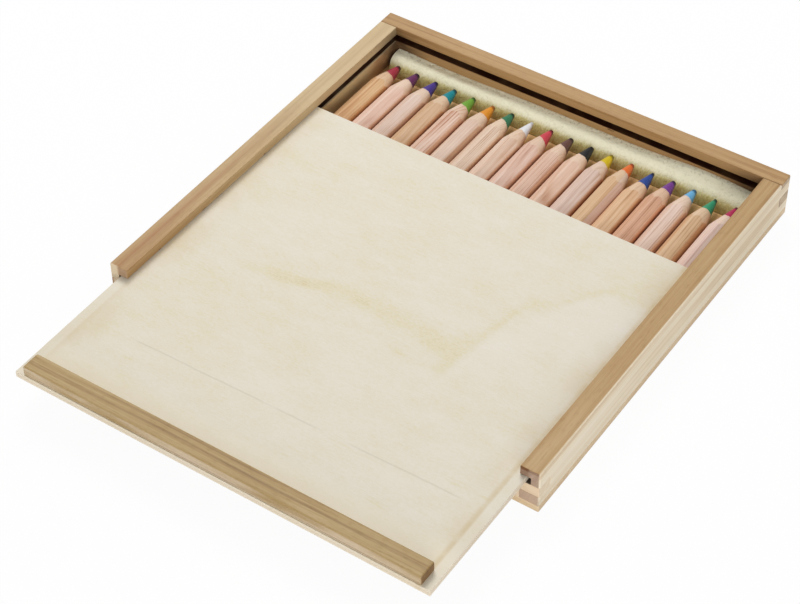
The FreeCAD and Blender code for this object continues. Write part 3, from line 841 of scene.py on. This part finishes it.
def cedar(name, tones, second, growth, tint, centre, roll, seed):
    """Pencil cedar: fine dark growth lines, two slats, and paler wood where it is sharpened.

    tones are the wood's, second those of its other slat if it differs, and tint is the colour
    that the lead leaves on the wood beside it. Its sides are painted lighter and warmer as bounce
    light, and the lowest part of each side darker and redder as painted shade.
    """
    material, tree, shader = new_material(name)
    ring, tilt, slope, contrast = growth
    shift = [-c for c in centre]
    spot = place(tree, shift, turn=(0, -math.degrees(roll), 0))
    x, y, z = split(spot)
    slat = (x * math.cos(0.35) + z * math.sin(0.35)).between(-0.06 * MM, 0.06 * MM)
    warp = grainy(joined(tree, x * 120, y * 12 + seed, z * 120), detail=2.0)
    grain = (x * math.cos(tilt) + z * math.sin(tilt) + y * slope + x * x * 26.0
             + (warp - 0.5) * (1.8 * MM) + slat * (seed % 1.7) * MM)
    years = grainy(joined(tree, grain / (ring * MM), y * 9, seed), detail=3.0, roughness=0.65)
    wave = (grain / (ring * 0.62 * MM) * (2 * math.pi) + seed).maths("SINE") * 0.5 + 0.5
    lines = wave ** 3.0 * years.between(0.2, 0.7) * 0.75 + years.between(0.5, 0.66) * 0.35
    streaks = grainy(joined(tree, x * 900, y * 18 + seed, z * 900), detail=4.0, roughness=0.7)
    fibres = grainy(joined(tree, x * 3600, y * 110, z * 3600), detail=2.0, roughness=0.7)
    blush = grainy(joined(tree, x * 70, y * 26 + seed, z * 70), detail=2.0)
    # Painted light: sides that face away from up are lighter and warmer, as bounce light between the
    # pencils.
    side = 1.0 - facing(tree, "Z").between(0.4, 0.9)
    tone = (0.62 - lines * (0.5 * contrast) + (streaks - 0.5) * 0.8 + (fibres - 0.5) * 0.5
            + (blush - 0.5) * 0.45 + side * 0.26)
    face = ramp(tone, [(0.05, tones[2]), (0.42, tones[1]), (0.8, tones[0])])
    if second:
        other = ramp(tone, [(0.05, second[2]), (0.42, second[1]), (0.8, second[0])])
        face = mixed(slat, face, other)
    glue = slat * (1.0 - slat) * 4.0
    face = mixed(glue * 0.35, face, tones[2])
    face = mixed(side, face, "FFEEDA", "MULTIPLY")
    # Painted shade: the lowest part of each side is darker and redder.
    height = split(place(tree, shift))[2]
    face = mixed(1.0 - height.between(-1.0 * MM, 2.4 * MM), face, "B46A40", "MULTIPLY")
    face = mixed(marked(tree, "sharpened") * 0.45, face, "EBD3B8")
    specks = grainy(resized(spot, (1400, 500, 1400)), detail=2.0).between(0.4, 0.75)
    smear = marked(tree, "near_lead") ** 4.0 * specks
    face = mixed(smear * 0.35, face, tint)
    tree.links.new(face, shader.inputs["Base Color"])
    rough = 0.56 + (fibres - 0.5) * 0.25
    tree.links.new(rough.socket, shader.inputs["Roughness"])
    shader.inputs["Specular IOR Level"].default_value = 0.25
    bump(shader, fibres * 0.6 + (1.0 - lines) * 0.25 + streaks * 0.3, 0.05 * MM)
    return material


def wax(name, pigment, dark, centre):
    """Coloured lead: smooth waxy pigment with turning marks, and a dark end that is partly worn
    pigment and partly painted shade, reaching further on one side.
    """
    material, tree, shader = new_material(name)
    spot = place(tree, shift=[-c for c in centre])
    marks = grainy(resized(spot, (160, 3000, 160)), detail=2.0)
    mottle = grainy(resized(spot, (900, 900, 900)), detail=3.0)
    # Painted shade: the dark end reaches further round one side of the lead.
    aside = (marked(tree, "turned") - 1.3).maths("COSINE") * 0.12
    end = (marked(tree, "near_tip") + aside + (mottle - 0.5) * 0.4).between(0.15, 0.6)
    face = mixed((marks - 0.35) * 0.5 + (mottle - 0.5) * 0.5, pigment, "FFFFFF", "SOFT_LIGHT")
    face = mixed(end * 0.95, face, dark)
    tree.links.new(face, shader.inputs["Base Color"])
    rough = 0.42 + (mottle - 0.5) * 0.3
    tree.links.new(rough.socket, shader.inputs["Roughness"])
    shader.inputs["Specular IOR Level"].default_value = 0.4
    bump(shader, marks * 0.7 + mottle * 0.5, 0.05 * MM)
    return material


PENCILS = {
    # name: (lead's colour, its dark end's (worn and painted shade), wood tones from pale to dark,
    #        (growth ring mm, its tilt, its slope, contrast),
    #        (tip radius mm, lead radius mm, off centre mm, in which direction in degrees))
    "crimson": ("A43242", "3C141C", ("DEBA8F", "CFA174", "AF7545"),
                (1.9, 0.4, 0.00, 0.9), (1.25, 3.0, 0.15, -90)),
    "plum": ("642C58", "261228", ("EDD2C2", "E2BEAA", "C69276"),
             (2.6, 1.3, 0.01, 0.6), (1.30, 2.9, 0.15, -90)),
    "indigo": ("463486", "161234", ("E4CEC1", "D8B9A5", "BA9178"),
               (1.3, 0.2, 0.00, 0.7), (1.15, 3.05, 0.10, -90)),
    "teal": ("128690", "083C42", ("DABA9A", "CCA57F", "A87A4C"),
             (1.1, 1.2, 0.01, 1.0), (1.20, 3.0, 0.15, -90)),
    "lime": ("6CA038", "2E4E18", ("EDD6C8", "DEBBA6", "B88062"),
             (1.5, 0.9, 0.00, 1.3), (1.15, 3.0, 0.20, -90)),
    "amber": ("E2902C", "8E5018", ("E3CDBB", "D5B5A0", "B68E72"),
              (2.2, 0.1, 0.01, 0.7), (1.10, 3.0, 0.15, -90)),
    "forest": ("347656", "10301F", ("EBD6C3", "DDC0A8", "B68E72"),
               (1.0, 0.7, 0.00, 1.05), (1.25, 2.9, 0.30, -80)),
    "white": ("E8EAEE", "C0C2C8", ("E8D1BF", "DBBAA2", "BC9070"),
              (2.1, 1.2, 0.01, 0.8), (0.75, 2.7, 0.20, -80)),
    "scarlet": ("CA4250", "5E1822", ("E8CDBF", "DAB4A0", "BD8F76"),
                (3.4, 0.9, 0.09, 0.6), (1.05, 2.9, 0.35, -85)),
    "brown": ("64443E", "221618", ("E6CBB7", "D8B19B", "B28268"),
              (1.0, 0.5, 0.00, 1.1), (1.20, 2.9, 0.30, -85)),
    "black": ("1C2228", "090C0F", ("E9CCB8", "DBB49B", "BC8866"),
              (4.2, 1.4, 0.11, 1.1), (1.25, 3.05, 0.15, -120)),
    "yellow": ("D4B820", "7C6A12", ("E4CFC3", "D6B8A7", "B69079"),
               (1.8, 1.2, 0.00, 0.8), (1.20, 2.85, 0.20, -80)),
    "orange": ("E66E32", "8E3A1A", ("DAB993", "CFA57E", "AA7A4E"),
               (1.6, 0.9, 0.00, 0.7), (1.15, 2.75, 0.20, -60)),
    "blue": ("284892", "0C142E", ("E5C4A1", "D9AF89", "B48456"),
             (2.4, 0.6, 0.01, 0.8), (0.75, 2.9, 0.15, -120)),
    "violet": ("743A8C", "281234", ("DFB497", "CF9F81", "A67250"),
               (1.3, 0.4, 0.01, 0.9), (1.15, 2.9, 0.10, -90)),
    "sky": ("68AEDC", "285C7A", ("EDD6C9", "DDBEAB", "B88B72"),
            (1.2, 0.9, 0.00, 1.1), (1.20, 2.7, 0.15, -60)),
    "green": ("30926A", "103C2E", ("DEBD9A", "D0AA83", "A87A52"),
              (2.5, 0.3, 0.02, 0.9), (0.85, 2.9, 0.10, -90)),
    "magenta": ("B42A58", "501226", ("F0DCCF", "E0C0B2", "B68878"),
                (1.0, 1.0, 0.00, 0.9), (1.10, 2.9, 0.10, -90)),
}
SECOND_SLAT = {"orange": ("E2CABE", "D6B6A7", "BA9080")}

barrels, cores = barrel_tree(), lead_tree()
for number, (name, (pigment, dark, tones, growth, point)) in enumerate(PENCILS.items()):
    tip, lead, off_centre, towards = point
    body = "pencil_" + name
    barrel_node, lead_node = body + "_barrel", body + "_lead"
    low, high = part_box(lead_node)
    centre = ((low.x + high.x) / 2, low.y, (low.z + high.z) / 2)
    roll = flat_angle(barrel_node)
    seed = 1.0 + number * 2.31
    wood = cedar("cedar_" + name, tones, SECOND_SLAT.get(name), growth, pigment, centre, roll, seed)
    values = {"Length": high.y - low.y, "Width": PENCIL_WIDTH, "Edge radius": EDGE_RADIUS,
              "Lead radius": lead * MM, "Point angle": POINT_ANGLE, "Blunt radius": tip * MM,
              "Off centre": off_centre * MM, "Lean": math.radians(towards) - roll, "Roll": roll,
              "Seed": seed, "Place": centre, "Material": wood}
    stands_for(grown("barrel_" + name, barrels, values), barrel_node, body)
    values["Material"] = wax("wax_" + name, pigment, dark, centre)
    stands_for(grown("core_" + name, cores, values), lead_node, body)


# ---- Floor and light ---------------------------------------------------------------------
# A white table in a pale room, under two large soft lamps: one above and behind the box, and
# one low in front of it. The table can't be seen from below.

half_table, table_gap = 6.0, 0.1 * MM
corners = [(-half_table, -half_table), (half_table, -half_table),
           (half_table, half_table), (-half_table, half_table)]
floor_mesh = bpy.data.meshes.new("floor")
floor_mesh.from_pydata([(x, y, -table_gap) for x, y in corners], [], [(0, 1, 2, 3)])
floor = bpy.data.objects.new("floor", floor_mesh)
bpy.context.scene.collection.objects.link(floor)


def floor_material():
    """White paint that the camera sees as almost plain white, and that is clear from below."""
    material, tree, shader = new_material("floor_paint")
    shader.inputs["Base Color"].default_value = (0.86, 0.86, 0.86, 1)
    shader.inputs["Roughness"].default_value = 0.9
    light_path = tree.nodes.new("ShaderNodeLightPath")
    glow = tree.nodes.new("ShaderNodeEmission")
    clear = tree.nodes.new("ShaderNodeBsdfTransparent")
    side = tree.nodes.new("ShaderNodeNewGeometry")
    glow_share = 0.955
    glowing = Field(light_path.outputs["Is Camera Ray"]) * glow_share
    # A ray from the box's underside has come only as far as the gap, and passes through too.
    from_box = Field(light_path.outputs["Ray Length"]).maths("LESS_THAN", 10 * table_gap)
    passing = Field(side.outputs["Backfacing"]).maths("MAXIMUM", from_box)
    surface = shader.outputs[0]
    for share, other in ((glowing, glow), (passing, clear)):
        blend = tree.nodes.new("ShaderNodeMixShader")
        tree.links.new(share.socket, blend.inputs[0])
        tree.links.new(surface, blend.inputs[1])
        tree.links.new(other.outputs[0], blend.inputs[2])
        surface = blend.outputs[0]
    tree.links.new(surface, tree.nodes["Material Output"].inputs["Surface"])
    return material


floor.data.materials.append(floor_material())

world = bpy.data.worlds.new("studio")
bpy.context.scene.world = world
world.use_nodes = True
room = world.node_tree.nodes["Background"]
room.inputs["Color"].default_value = (1, 1, 1, 1)
room.inputs["Strength"].default_value = 0.45


def soft_lamp(name, position, size, power):
    """A square lamp that looks at the middle of the box's foot."""
    lamp = bpy.data.lights.new(name, "AREA")
    lamp.shape = "SQUARE"
    lamp.size = size
    lamp.energy = power
    holder = bpy.data.objects.new(name, lamp)
    bpy.context.scene.collection.objects.link(holder)
    holder.location = position
    holder.rotation_euler = (-Vector(position)).to_track_quat("-Z", "Y").to_euler()


soft_lamp("overhead", position=(-0.6, 0.7, 1.3), size=0.8, power=15.5)
soft_lamp("front_fill", position=(1.0, -1.4, 0.3), size=1.0, power=16.0)


# ---- Camera ------------------------------------------------------------------------------
# It looks down on the box from its front right corner, with a long lens.

camera_data = bpy.data.cameras.new("camera")
camera_data.lens = 98.67
camera_data.sensor_width = 36.0
camera_data.sensor_fit = "HORIZONTAL"
camera = bpy.data.objects.new("camera", camera_data)
bpy.context.scene.collection.objects.link(camera)
stand = Vector((0.3608, -0.5693, 0.6326))
backward = Vector((0.4036, -0.5894, 0.6998)).normalized()
nearly_right = Vector((0.8279, 0.5608, -0.0051))
upward = backward.cross(nearly_right).normalized()
turned = Matrix((upward.cross(backward), upward, backward)).transposed().to_4x4()
camera.matrix_world = Matrix.Translation(stand) @ turned
bpy.context.scene.camera = camera

bpy.context.scene.view_settings.view_transform = "Standard"
